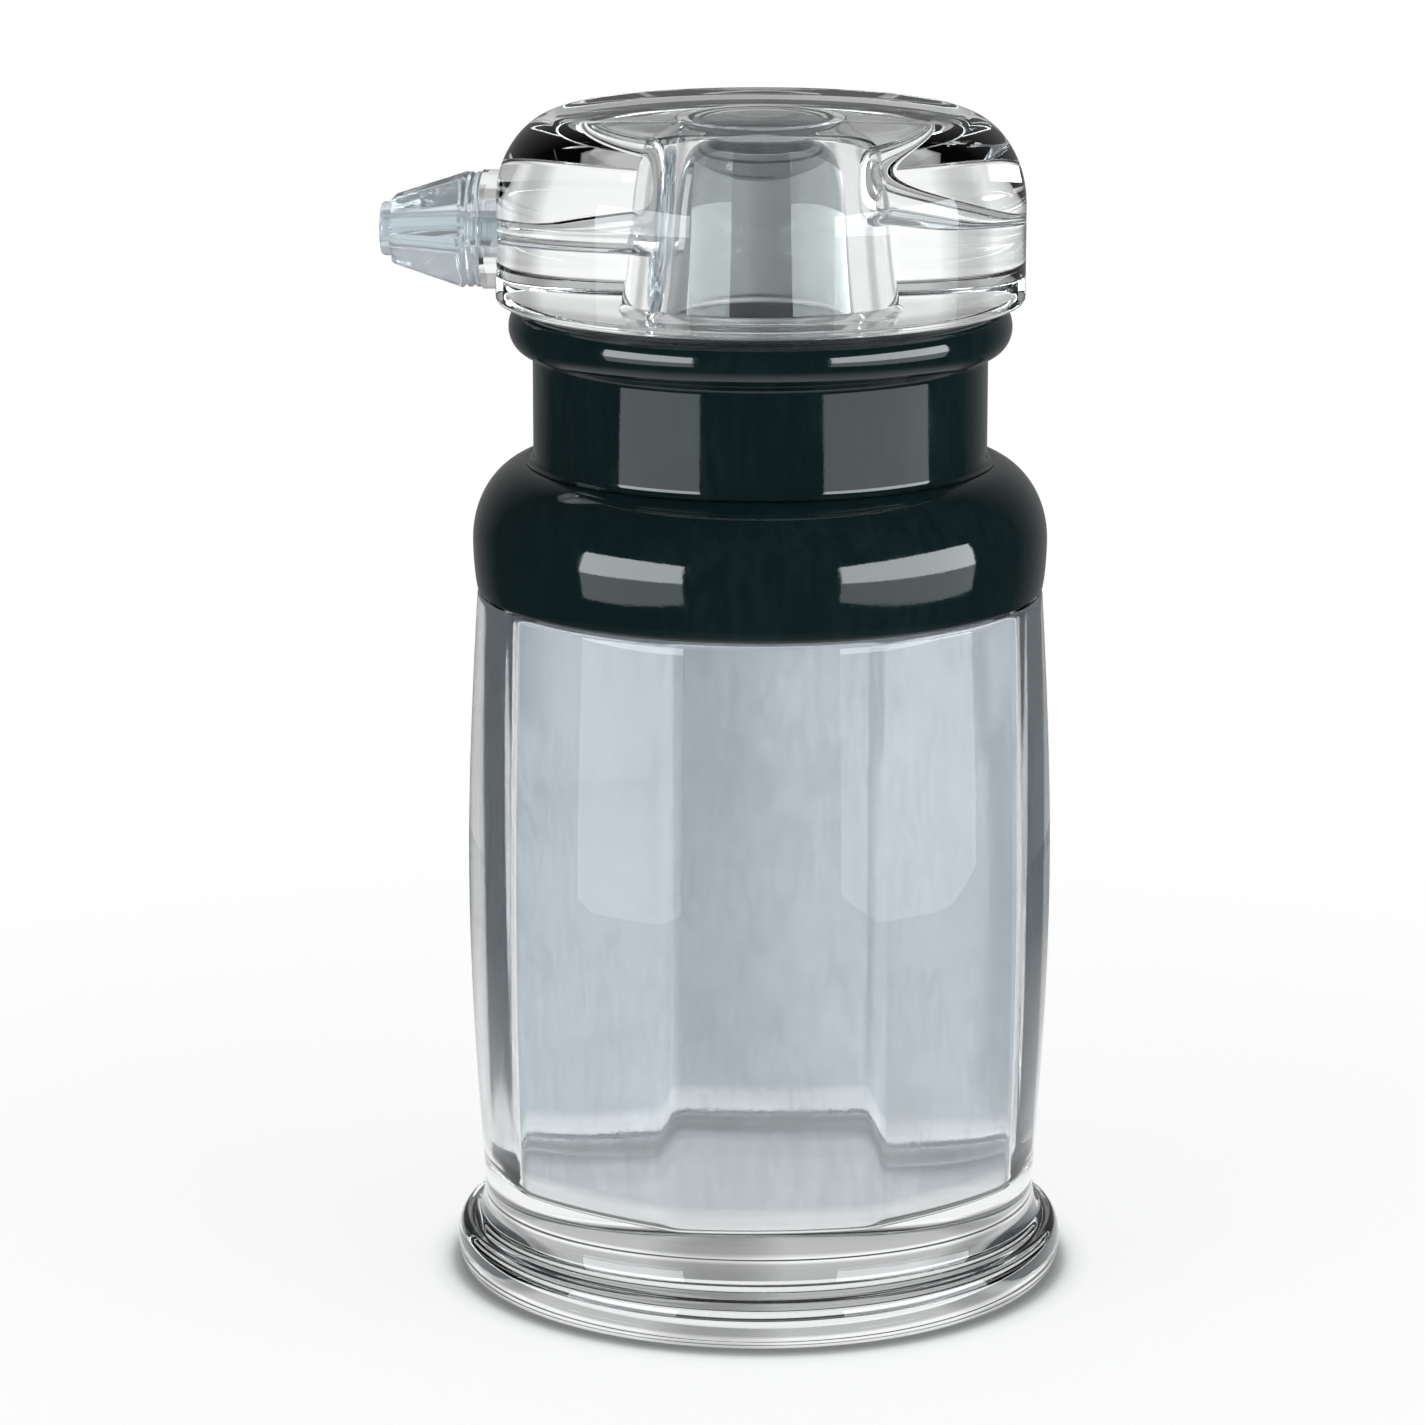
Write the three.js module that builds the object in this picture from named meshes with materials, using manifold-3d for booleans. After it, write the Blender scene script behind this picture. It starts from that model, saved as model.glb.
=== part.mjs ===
// Soy sauce dispenser: a clear jar with an octagonal well, a black screw collar
// and a solid clear lid whose chamber pours through a six-sided spout.
// Millimetres, +Z up, origin at the middle of the foot's underside, spout towards -X.
import * as THREE from 'three';
import { mergeVertices } from 'three/addons/utils/BufferGeometryUtils.js';
import Module from 'manifold-3d';

const wasm = await Module();
wasm.setup();

// Fineness of the round shapes
const roundSides = 60;
const smallSides = 24;
const cutPast = 1; // how far a cutting shape runs past the face it opens

// Clearances
const seatGap = 0.1; // between faces that rest on each other
const slideGap = 0.1; // round a piece that slides or is pressed in
const threadGap = 0.3; // between the crests of one thread and the root of the other

// Jar: outside
const footRadius = 32.5;
const footHeight = 5;
const footSoleRadius = 31.3;
const footFilletHeight = 4.2;
const footFilletWidth = 1.7;
const wallBottomRadius = 29.5;
const wallBulge = 1.3; // how far the wall swells beyond a straight line
const wallTopRadius = 29.8;
const shoulderHeight = 73.7;

// Jar: inside
const wellCornerRadius = 25.4;
const wellTurn = 6.4; // degrees by which the well is turned from the spout's line
const wellFaces = 8;
const wellFaceCrown = 0.35; // how far each face bows outwards
const wellFaceSteps = 4;
const wellFloorHeight = 10.5;
const wellFloorEdge = 1.2;

// Jar: threaded mouth
const mouthHeight = 8.3;
const mouthRadius = 27.2;
const ridgeDepth = 0.8;
const ridgeRootWidth = 1.5;
const ridgeCrestWidth = 0.7;
const ridgeRooting = 0.3; // how deep a ridge is rooted in its wall
const ridgeRunOut = 4; // steps over which a ridge sinks away at each end
const ridgeEndShare = 0.15; // share of its depth left at the very end
const threadPitch = 3;
const jarThreadTurns = 1.5;
const jarThreadStart = 2.6; // above the shoulder
const collarThreadTurns = 1;

// Gasket between the jar's rim and the collar
const gasketThickness = 1.2;
const gasketInnerRadius = 25.8;

// Collar
const collarEdgeRadius = 29.8;
const beadRadius = 30.2;
const beadWidestAbove = 5.2; // above the collar's lower edge
const beadUpperReach = 8.4;
const collarNeckRadius = 23.8;
const neckHeight = 11.4;
const neckFillet = 0.7;
const lipRadius = 26.3;
const lipHeight = 5.3;
const lipRound = 2.2;
const throatWall = 3.1;
const funnelRise = 5.2;

// Lid
const lidRadius = 27.6;
const lidSideHeight = 10;
const lidShoulderWidth = 7.6;
const lidShoulderHeight = 9.6;
const lidCrown = 0.4;
const lidLowerEdge = 0.5;
const chamberMouthRadius = 9.7;
const chamberBellyRadius = 9.3;
const chamberBellyHeight = 4.3;
const chamberWaistRadius = 8.8;
const chamberTopRadius = 3.6;
const chamberHeight = 14.4;
const chamberShoulder = 3.4;
const skirtWall = 2.7;
const skirtDepth = 6.3;
const ventRadius = 0.6;
const ventAboveSpout = 1.6;

// Seal on the lid's skirt
const sealHeight = 1.6;
const sealThickness = 1.25;
const sealAboveSkirtEnd = 1.6;

// Spout
const spoutAxisAboveLid = 7; // above the lid's underside
const bossRadius = 6.2;
const bossStand = 1.3;
const flangeRadius = 6;
const flangeThickness = 1.5;
const noseSides = 6;
const noseRootFlats = 11.4;
const noseTipFlats = 6.9;
const noseLength = 7.9;
const noseRooting = 0.2;
const tipRadius = 2.8;
const tipLength = 1.2;
const tipBevel = 0.5;
const spoutBoreRadius = 1.3;
const stemRadius = 3;
const stemLength = 4;

// Heights and places worked out from the sizes above
const rimZ = shoulderHeight + mouthHeight;
const seatZ = rimZ + seatGap + gasketThickness + seatGap;
const collarBottomZ = shoulderHeight + threadGap;
const collarBoreRadius = mouthRadius + ridgeDepth + threadGap;
const beadWidestZ = collarBottomZ + beadWidestAbove;
const beadTopZ = beadWidestZ + beadUpperReach;
const neckTopZ = beadTopZ + neckHeight;
const lipTopZ = neckTopZ + lipHeight;
const throatRadius = collarNeckRadius - throatWall;
const lidBottomZ = lipTopZ + seatGap;
const lidShoulderZ = lidBottomZ + lidSideHeight;
const lidTopZ = lidShoulderZ + lidShoulderHeight;
const skirtRadius = throatRadius - 2 * slideGap;
const skirtEndZ = lidBottomZ - skirtDepth;
const sealZ = skirtEndZ + sealAboveSkirtEnd;
const spoutZ = lidBottomZ + spoutAxisAboveLid;
const bossFaceX = lidRadius + bossStand;
const flangeX = bossFaceX + seatGap;
const noseX = flangeX + flangeThickness;
const tipX = noseX + noseLength;
const stemEndX = bossFaceX - stemLength;

// Points of an elliptic arc in a lathe's profile, from one angle to another in degrees
function arc(centreR, centreZ, reachR, reachZ, from, to, steps) {
  const points = [];
  for (let i = 0; i <= steps; i += 1) {
    const a = THREE.MathUtils.degToRad(from + ((to - from) * i) / steps);
    points.push([centreR + reachR * Math.cos(a), centreZ + reachZ * Math.sin(a)]);
  }
  return points;
}

// A geometry's own triangles as a solid that can be cut and joined
function solidOf(geometry) {
  const bare = geometry.index ? geometry.clone() : geometry;
  bare.deleteAttribute('normal');
  bare.deleteAttribute('uv');
  const merged = mergeVertices(bare, 1e-4);
  const index = merged.index.array;
  const triangles = [];
  for (let i = 0; i < index.length; i += 3) {
    const [a, b, c] = [index[i], index[i + 1], index[i + 2]];
    if (a !== b && b !== c && c !== a) triangles.push(a, b, c);
  }
  return new wasm.Manifold(new wasm.Mesh({
    numProp: 3,
    vertProperties: new Float32Array(merged.attributes.position.array),
    triVerts: new Uint32Array(triangles),
  }));
}

// A turned solid about Z; the profile runs anticlockwise in (radius, height) and closes itself
function turned(profile, sides = roundSides) {
  const points = profile.map(([r, z]) => new THREE.Vector2(Math.max(r, 0), z));
  const onAxis = profile[0][0] <= 0 && profile[profile.length - 1][0] <= 0;
  if (!onAxis) points.push(points[0].clone());
  const geometry = new THREE.LatheGeometry(points, sides);
  geometry.rotateX(Math.PI / 2);
  return solidOf(geometry);
}

// A turned solid laid along -X at the spout's height; the profile's height is the distance from the axis
function turnedAlongSpout(profile, sides = smallSides) {
  const points = profile.map(([r, x]) => new THREE.Vector2(Math.max(r, 0), x));
  const geometry = new THREE.LatheGeometry(points, sides);
  geometry.rotateX(Math.PI / 2);
  geometry.rotateY(-Math.PI / 2);
  geometry.translate(0, 0, spoutZ);
  return solidOf(geometry);
}

// A plain rod about the spout's line, between two distances from the dispenser's axis
function spoutRod(radius, from, to, sides = smallSides) {
  return turnedAlongSpout([[0, from], [radius, from], [radius, to], [0, to]], sides);
}

// A helical ridge on a cylinder; it stands out of the root, or into the bore where depth is negative
function threadRidge(rootRadius, depth, startZ, turns, startTurn) {
  const steps = Math.round(roundSides * turns);
  const sunk = ridgeRooting * Math.sign(depth);
  const positions = [];
  const index = [];
  for (let i = 0; i <= steps; i += 1) {
    const turn = startTurn + i / roundSides;
    const angle = turn * 2 * Math.PI;
    const z = startZ + (i / roundSides) * threadPitch;
    const fade = Math.min(1, i / ridgeRunOut, (steps - i) / ridgeRunOut);
    const crest = rootRadius + depth * (ridgeEndShare + (1 - ridgeEndShare) * fade);
    const section = [
      [rootRadius - sunk, z - ridgeRootWidth / 2],
      [crest, z - ridgeCrestWidth / 2],
      [crest, z + ridgeCrestWidth / 2],
      [rootRadius - sunk, z + ridgeRootWidth / 2],
    ];
    for (const [r, height] of section) {
      positions.push(r * Math.cos(angle), r * Math.sin(angle), height);
    }
  }
  const flip = depth < 0;
  const add = (a, b, c) => index.push(...(flip ? [a, c, b] : [a, b, c]));
  for (let i = 0; i < steps; i += 1) {
    for (let k = 0; k < 4; k += 1) {
      const a = i * 4 + k;
      const b = i * 4 + ((k + 1) % 4);
      add(a, a + 4, b);
      add(b, a + 4, b + 4);
    }
  }
  const last = steps * 4;
  add(0, 1, 2);
  add(0, 2, 3);
  add(last, last + 2, last + 1);
  add(last, last + 3, last + 2);
  const geometry = new THREE.BufferGeometry();
  geometry.setAttribute('position', new THREE.Float32BufferAttribute(positions, 3));
  geometry.setIndex(index);
  return solidOf(geometry);
}

// The octagonal well, with faces that bow outwards a little and a chamfer round its floor
function wellSolid() {
  const outline = (corner) => {
    const points = [];
    const apothem = corner * Math.cos(Math.PI / wellFaces);
    for (let face = 0; face < wellFaces; face += 1) {
      const middle = (face * 2 * Math.PI) / wellFaces;
      for (let step = 0; step < wellFaceSteps; step += 1) {
        const t = (2 * step) / wellFaceSteps - 1;
        const out = apothem + wellFaceCrown * (1 - t * t);
        const along = corner * Math.sin(Math.PI / wellFaces) * t;
        const x = out * Math.cos(middle) - along * Math.sin(middle);
        const y = out * Math.sin(middle) + along * Math.cos(middle);
        points.push(new THREE.Vector2(x, y));
      }
    }
    return new THREE.Shape(points);
  };
  const shaft = new THREE.ExtrudeGeometry(outline(wellCornerRadius), {
    depth: rimZ + cutPast - wellFloorHeight - wellFloorEdge,
    bevelEnabled: false,
  });
  shaft.translate(0, 0, wellFloorHeight + wellFloorEdge);
  const positions = [];
  const index = [];
  const low = outline(wellCornerRadius - wellFloorEdge).getPoints();
  const high = outline(wellCornerRadius).getPoints();
  const count = wellFaces * wellFaceSteps;
  for (const [ring, z] of [[low, wellFloorHeight], [high, wellFloorHeight + wellFloorEdge]]) {
    for (let i = 0; i < count; i += 1) positions.push(ring[i].x, ring[i].y, z);
  }
  const lowMiddle = 2 * count;
  positions.push(0, 0, wellFloorHeight, 0, 0, wellFloorHeight + wellFloorEdge);
  for (let i = 0; i < count; i += 1) {
    const j = (i + 1) % count;
    index.push(i, j, count + j, i, count + j, count + i);
    index.push(lowMiddle, j, i);
    index.push(lowMiddle + 1, count + i, count + j);
  }
  const edge = new THREE.BufferGeometry();
  edge.setAttribute('position', new THREE.Float32BufferAttribute(positions, 3));
  edge.setIndex(index);
  return solidOf(shaft).add(solidOf(edge));
}

function jarSolid() {
  const wallFootZ = footHeight + footFilletHeight;
  const wallSteps = 8;
  const wall = [];
  for (let i = 1; i <= wallSteps; i += 1) {
    const t = i / wallSteps;
    const straight = wallBottomRadius + (wallTopRadius - wallBottomRadius) * t;
    wall.push([straight + wallBulge * Math.sin(Math.PI * t), wallFootZ + (shoulderHeight - wallFootZ) * t]);
  }
  const footEdge = footHeight / 2;
  const outside = [
    [0, 0],
    ...arc(footSoleRadius, footEdge, footRadius - footSoleRadius, footEdge, -90, 90, 6),
    ...arc(wallBottomRadius + footFilletWidth, wallFootZ, footFilletWidth, footFilletHeight, -90, -180, 3),
    ...wall,
    [mouthRadius, shoulderHeight],
    [mouthRadius, rimZ],
    [0, rimZ],
  ];
  const ridge = threadRidge(mouthRadius, ridgeDepth, shoulderHeight + jarThreadStart, jarThreadTurns, 0);
  const well = wellSolid().rotate([0, 0, wellTurn]);
  return turned(outside).add(ridge).subtract(well);
}

function gasketSolid() {
  const bottom = rimZ + seatGap;
  const top = bottom + gasketThickness;
  const outer = mouthRadius;
  return turned([
    [gasketInnerRadius, bottom],
    [outer, bottom],
    [outer, top],
    [gasketInnerRadius, top],
  ]);
}

function collarSolid() {
  const beadCentre = collarNeckRadius - neckFillet / 2;
  const beadReach = beadRadius - beadCentre;
  const edgeShare = (collarEdgeRadius - beadCentre) / beadReach;
  const beadLowerReach = beadWidestAbove / Math.sqrt(1 - edgeShare * edgeShare);
  const edgeAngle = -THREE.MathUtils.radToDeg(Math.asin(beadWidestAbove / beadLowerReach));
  const lipHalf = lipHeight / 2;
  const outside = [
    ...arc(beadCentre, beadWidestZ, beadReach, beadLowerReach, edgeAngle, 0, 4),
    ...arc(beadCentre, beadWidestZ, beadReach, beadUpperReach, 9, 84, 8),
    [collarNeckRadius, beadTopZ + neckFillet],
    [collarNeckRadius, neckTopZ - neckFillet],
    [collarNeckRadius + neckFillet * 0.4, neckTopZ - neckFillet * 0.2],
    ...arc(lipRadius - lipRound, neckTopZ + lipHalf, lipRound, lipHalf, -75, 75, 8),
    [lipRadius - lipRound, lipTopZ],
  ];
  const inside = [
    [throatRadius, lipTopZ],
    [throatRadius, seatZ + funnelRise],
    [gasketInnerRadius, seatZ],
    [collarBoreRadius, seatZ],
    [collarBoreRadius, collarBottomZ],
  ];
  const ridgeStart = shoulderHeight + jarThreadStart - threadPitch / 2 + threadPitch / 4;
  const ridge = threadRidge(collarBoreRadius, -ridgeDepth, ridgeStart, collarThreadTurns, 0.25);
  return turned([...outside, ...inside]).add(ridge);
}

function lidSolid() {
  const chamberTopZ = lidBottomZ + chamberHeight;
  const shoulderReach = chamberWaistRadius - chamberTopRadius;
  const outside = [
    [skirtRadius, lidBottomZ],
    [lidRadius - lidLowerEdge, lidBottomZ],
    [lidRadius, lidBottomZ + lidLowerEdge],
    ...arc(lidRadius - lidShoulderWidth, lidShoulderZ, lidShoulderWidth, lidShoulderHeight, 0, 90, 7),
    [0, lidTopZ + lidCrown],
  ];
  const chamber = [
    [0, chamberTopZ],
    ...arc(chamberTopRadius, chamberTopZ - chamberShoulder, shoulderReach, chamberShoulder, 90, 0, 4),
    [chamberBellyRadius, lidBottomZ + chamberBellyHeight],
    [chamberMouthRadius, lidBottomZ],
  ];
  const skirtInner = skirtRadius - skirtWall;
  const groove = skirtRadius - sealThickness - slideGap;
  const skirt = [
    [skirtInner, lidBottomZ],
    [skirtInner, skirtEndZ],
    [skirtRadius, skirtEndZ],
    [skirtRadius, sealZ - seatGap],
    [groove, sealZ - seatGap],
    [groove, sealZ + sealHeight + seatGap],
    [skirtRadius, sealZ + sealHeight + seatGap],
  ];
  const block = turned([...chamber, ...skirt, ...outside]);
  const boss = spoutRod(bossRadius, lidRadius - lidShoulderWidth, bossFaceX, smallSides * 2);
  const socket = spoutRod(stemRadius + slideGap, stemEndX - seatGap, bossFaceX + cutPast);
  const bore = spoutRod(spoutBoreRadius, 0, bossFaceX);
  const ventRod = spoutRod(ventRadius, -lidRadius - cutPast, 0, smallSides / 2);
  const vent = ventRod.translate([0, 0, ventAboveSpout]);
  return block.add(boss).subtract(socket).subtract(bore).subtract(vent);
}

function lidSealSolid() {
  const inner = skirtRadius - sealThickness;
  const bulge = sealHeight / 2;
  const middle = sealZ + bulge;
  const outer = inner + sealThickness + slideGap;
  return turned([
    [inner, sealZ],
    ...arc(outer - bulge, middle, bulge, bulge, -90, 90, 4),
    [inner, sealZ + sealHeight],
  ]);
}

function spoutSolid() {
  const rootRadius = noseRootFlats / 2 / Math.cos(Math.PI / noseSides);
  const endRadius = noseTipFlats / 2 / Math.cos(Math.PI / noseSides);
  const rootX = noseX - noseRooting;
  const nose = turnedAlongSpout([[0, rootX], [rootRadius, rootX], [endRadius, tipX], [0, tipX]], noseSides);
  const body = turnedAlongSpout([
    [0, stemEndX],
    [stemRadius, stemEndX],
    [stemRadius, flangeX],
    [flangeRadius, flangeX],
    [flangeRadius, noseX],
    [tipRadius, noseX],
    [tipRadius, tipX + tipLength - tipBevel],
    [tipRadius - tipBevel, tipX + tipLength],
    [0, tipX + tipLength],
  ]);
  return body.add(nose).subtract(spoutRod(spoutBoreRadius, 0, tipX + tipLength + cutPast));
}

// Finishes
const clearPlastic = { color: 0xdfe9ea, roughness: 0.05, metalness: 0, transparent: true, opacity: 0.35 };
const blackPlastic = { color: 0x0c1514, roughness: 0.12, metalness: 0 };
const silicone = { color: 0xd9dcda, roughness: 0.6, metalness: 0 };

function meshOf(name, solid, finish) {
  const { vertProperties, triVerts } = solid.getMesh();
  const geometry = new THREE.BufferGeometry();
  geometry.setAttribute('position', new THREE.BufferAttribute(new Float32Array(vertProperties), 3));
  geometry.setIndex(new THREE.BufferAttribute(new Uint32Array(triVerts), 1));
  geometry.computeVertexNormals();
  const mesh = new THREE.Mesh(geometry, new THREE.MeshStandardMaterial(finish));
  mesh.name = name;
  return mesh;
}

const dispenser = new THREE.Group();
dispenser.add(meshOf('jar', jarSolid(), clearPlastic));
dispenser.add(meshOf('jar_gasket', gasketSolid(), silicone));
dispenser.add(meshOf('collar', collarSolid(), blackPlastic));
dispenser.add(meshOf('lid', lidSolid(), clearPlastic));
dispenser.add(meshOf('lid_seal', lidSealSolid(), silicone));
dispenser.add(meshOf('spout', spoutSolid(), clearPlastic));

export default dispenser;
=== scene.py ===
import math

import bpy
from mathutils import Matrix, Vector


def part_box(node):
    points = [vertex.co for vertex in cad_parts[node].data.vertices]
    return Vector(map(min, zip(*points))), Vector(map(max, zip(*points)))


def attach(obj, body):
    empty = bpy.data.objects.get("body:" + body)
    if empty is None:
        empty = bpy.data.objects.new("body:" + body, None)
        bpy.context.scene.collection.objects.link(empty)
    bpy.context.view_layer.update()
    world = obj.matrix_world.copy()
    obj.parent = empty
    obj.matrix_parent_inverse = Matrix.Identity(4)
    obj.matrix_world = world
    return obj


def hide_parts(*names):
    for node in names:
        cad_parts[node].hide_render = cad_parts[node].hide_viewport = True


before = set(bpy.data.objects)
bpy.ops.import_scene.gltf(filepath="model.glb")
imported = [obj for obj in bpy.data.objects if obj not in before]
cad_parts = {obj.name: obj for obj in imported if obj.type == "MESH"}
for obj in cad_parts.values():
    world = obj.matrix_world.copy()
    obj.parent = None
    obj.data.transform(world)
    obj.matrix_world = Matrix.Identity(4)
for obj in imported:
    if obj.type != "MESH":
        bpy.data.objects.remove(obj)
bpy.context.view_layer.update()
scene = bpy.context.scene
print("frame loaded")

mm = 0.001
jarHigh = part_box("jar")[1]
gasketLow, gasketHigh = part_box("jar_gasket")
collarLow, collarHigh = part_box("collar")
lidLow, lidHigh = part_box("lid")
sealLow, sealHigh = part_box("lid_seal")
spoutLow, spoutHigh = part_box("spout")


# Camera, at the photograph's angle

camera = {
    "distance": 0.575,
    "height": 0.195,
    "turn": 3.0,  # degrees towards +X
    "aimAcross": -0.005,
    "aimHeight": 0.060,
    "lens": 140.6,
    "sensor": 36.0,
}


def makeCamera(view):
    turn = math.radians(view["turn"])
    across = Vector((math.cos(turn), math.sin(turn), 0))
    aim = across * view["aimAcross"] + Vector((0, 0, view["aimHeight"]))
    data = bpy.data.cameras.new("camera")
    data.lens = view["lens"]
    data.sensor_width = view["sensor"]
    data.clip_start = 0.01
    obj = bpy.data.objects.new("camera", data)
    obj.location = (view["distance"] * math.sin(turn), -view["distance"] * math.cos(turn), view["height"])
    obj.rotation_euler = (aim - obj.location).to_track_quat("-Z", "Y").to_euler()
    scene.collection.objects.link(obj)
    scene.camera = obj


makeCamera(camera)
print("camera placed")


# Shape helpers: a piece is a stack of rings about an axis, closed into one skin

def arc(centreR, centreZ, reachR, reachZ, start, end, steps):
    points = []
    for i in range(steps + 1):
        a = math.radians(start + (end - start) * i / steps)
        points.append((centreR + reachR * math.cos(a), centreZ + reachZ * math.sin(a)))
    return points


def fillet(corner, before, after, radius, steps=4):
    # rounds one corner of a profile between the directions of its neighbours
    middle = Vector(corner)
    start = middle + (Vector(before) - middle).normalized() * radius
    end = middle + (Vector(after) - middle).normalized() * radius
    points = []
    for i in range(steps + 1):
        t = i / steps
        points.append(tuple(start * (1 - t) ** 2 + middle * 2 * t * (1 - t) + end * t ** 2))
    return points


def rounded(profile, radius, steps=4):
    # rounds every corner of a closed profile
    points = []
    count = len(profile)
    for i in range(count):
        points += fillet(profile[i], profile[i - 1], profile[(i + 1) % count], radius, steps)
    return points


def facetShape(faces, sides, sharpness, crown, firstAngle=0.0):
    # radius of a many-sided outline with softened corners, as a share of its corner radius
    shape = []
    half = math.pi / faces
    for i in range(sides):
        angle = 2 * math.pi * i / sides - firstAngle
        total = sum(max(math.cos(angle - 2 * half * k), 0) ** sharpness for k in range(faces))
        off = ((angle + half) % (2 * half)) / half - 1
        shape.append(math.cos(half) / total ** (1 / sharpness) + crown * (1 - off * off))
    return shape


def ring(radius, height, sides, shape=None, swell=None):
    if radius < 1e-7:
        return [(0.0, 0.0, height)]
    points = []
    for i in range(sides):
        angle = 2 * math.pi * i / sides
        r = radius * (shape[i] if shape else 1)
        if swell:
            r += swell(angle, height)
        points.append((r * math.cos(angle), r * math.sin(angle), height))
    return points


def skin(name, rings, finishes, finishOf=None):
    verts, starts = [], []
    for points in rings:
        starts.append(len(verts))
        verts += points
    faces, marks = [], []
    closed = len(rings[0]) > 1
    last = len(rings) if closed else len(rings) - 1
    for k in range(last):
        n = (k + 1) % len(rings)
        a, b = rings[k], rings[n]
        sides = max(len(a), len(b))
        for i in range(sides):
            j = (i + 1) % sides
            if len(a) == 1:
                face = (starts[k], starts[n] + j, starts[n] + i)
            elif len(b) == 1:
                face = (starts[k] + i, starts[k] + j, starts[n])
            else:
                face = (starts[k] + i, starts[k] + j, starts[n] + j, starts[n] + i)
            faces.append(face)
            marks.append(finishOf(k) if finishOf else 0)
    mesh = bpy.data.meshes.new(name)
    mesh.from_pydata(verts, [], faces)
    for finish in finishes:
        mesh.materials.append(finish)
    mesh.polygons.foreach_set("material_index", marks)
    smooth(mesh)
    obj = bpy.data.objects.new(name, mesh)
    scene.collection.objects.link(obj)
    return obj


def smooth(mesh, sharpFrom=32):
    mesh.polygons.foreach_set("use_smooth", [True] * len(mesh.polygons))
    mesh.set_sharp_from_angle(angle=math.radians(sharpFrom))
    mesh.update()


def layAlongSpout(obj, height):
    # turns a piece made about Z so that its axis lies along -X at the spout's height
    for vertex in obj.data.vertices:
        x, y, z = vertex.co
        vertex.co = (-z, y, x + height)


def carve(obj, tool, operation):
    cut = obj.modifiers.new("carve", "BOOLEAN")
    cut.operation = operation
    cut.solver = "EXACT"
    cut.object = tool
    bpy.context.view_layer.update()
    solved = obj.evaluated_get(bpy.context.evaluated_depsgraph_get())
    result = bpy.data.meshes.new_from_object(solved)
    obj.modifiers.clear()
    old = obj.data
    obj.data = result
    result.name = obj.name
    bpy.data.meshes.remove(old)
    bpy.data.objects.remove(tool)
    smooth(result)


def threadSwell(depth, startZ, turns, startTurn, pitch, rootWidth, crestWidth):
    # how far a helical ridge stands out of a wall at an angle and height
    def swell(angle, height):
        out = 0.0
        for lap in range(-1, 3):
            turn = angle / (2 * math.pi) + lap - startTurn
            if turn < 0 or turn > turns:
                continue
            away = abs(height - (startZ + turn * pitch))
            flank = (rootWidth / 2 - away) / ((rootWidth - crestWidth) / 2)
            runOut = min(1, turn * 16, (turns - turn) * 16)
            out = max(out, min(max(flank, 0), 1) * runOut)
        return out * depth
    return swell


# Finishes: the shared effects are groups, the rest is set in each material

def feed(links, socket, source):
    # a number is set on the socket, an output is linked to it
    if isinstance(source, (int, float)):
        socket.default_value = source
    else:
        links.new(source, socket)


def placeMath(nodes, links, operation, *sources):
    result = nodes.new("ShaderNodeMath")
    result.operation = operation
    for socket, source in zip(result.inputs, sources):
        feed(links, socket, source)
    return result.outputs[0]


def placeRange(nodes, links, value, fromLow, fromHigh, toLow, toHigh):
    result = nodes.new("ShaderNodeMapRange")
    feed(links, result.inputs["Value"], value)
    feed(links, result.inputs["From Min"], fromLow)
    feed(links, result.inputs["From Max"], fromHigh)
    feed(links, result.inputs["To Min"], toLow)
    feed(links, result.inputs["To Max"], toHigh)
    return result.outputs["Result"]


def placeRamp(nodes, links, value, stops):
    ramp = nodes.new("ShaderNodeValToRGB")
    while len(ramp.color_ramp.elements) < len(stops):
        ramp.color_ramp.elements.new(0.5)
    for stop, (place, tone) in zip(ramp.color_ramp.elements, stops):
        stop.position = place
        stop.color = (tone, tone, tone, 1)
    links.new(value, ramp.inputs["Fac"])
    return ramp.outputs["Color"]


def placeNoise(nodes, links, vector, scale, detail, distortion=0.0):
    noise = nodes.new("ShaderNodeTexNoise")
    noise.inputs["Detail"].default_value = detail
    noise.inputs["Distortion"].default_value = distortion
    links.new(vector, noise.inputs["Vector"])
    links.new(scale, noise.inputs["Scale"])
    return noise.outputs["Fac"]


def placeGroup(nodes, group, values):
    placed = nodes.new("ShaderNodeGroup")
    placed.node_tree = group
    for socketName, value in values.items():
        placed.inputs[socketName].default_value = value
    return placed


def newGroup(name, inputs, output):
    # an input without a number is a vector
    group = bpy.data.node_groups.new(name, "ShaderNodeTree")
    for socketName, value in inputs.items():
        kind = "NodeSocketVector" if value is None else "NodeSocketFloat"
        socket = group.interface.new_socket(socketName, in_out="INPUT", socket_type=kind)
        if value is not None:
            socket.default_value = value
    group.interface.new_socket(output, in_out="OUTPUT", socket_type="NodeSocketFloat")
    return group, group.nodes.new("NodeGroupInput"), group.nodes.new("NodeGroupOutput")


def makeScuffGroup():
    # fine wipe marks and handling haze, 0 clean to 1 worn
    group, start, end = newGroup("wipeMarks", {"Scale": 60.0, "Amount": 0.5}, "Mask")
    nodes, links = group.nodes, group.links
    coords = nodes.new("ShaderNodeTexCoord")
    stretch = nodes.new("ShaderNodeMapping")
    stretch.inputs["Scale"].default_value = (1.0, 1.0, 0.25)
    links.new(coords.outputs["Object"], stretch.inputs["Vector"])
    haze = placeNoise(nodes, links, coords.outputs["Object"], start.outputs["Scale"], 5.0)
    finer = placeMath(nodes, links, "MULTIPLY", start.outputs["Scale"], 9.0)
    lines = placeNoise(nodes, links, stretch.outputs["Vector"], finer, 8.0, 1.2)
    both = placeMath(nodes, links, "MULTIPLY", haze, lines)
    worn = placeRange(nodes, links, both, 0.2, 0.42, 0.0, 1.0)
    mask = placeMath(nodes, links, "MULTIPLY", worn, start.outputs["Amount"])
    links.new(mask, end.inputs["Mask"])
    return group


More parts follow.
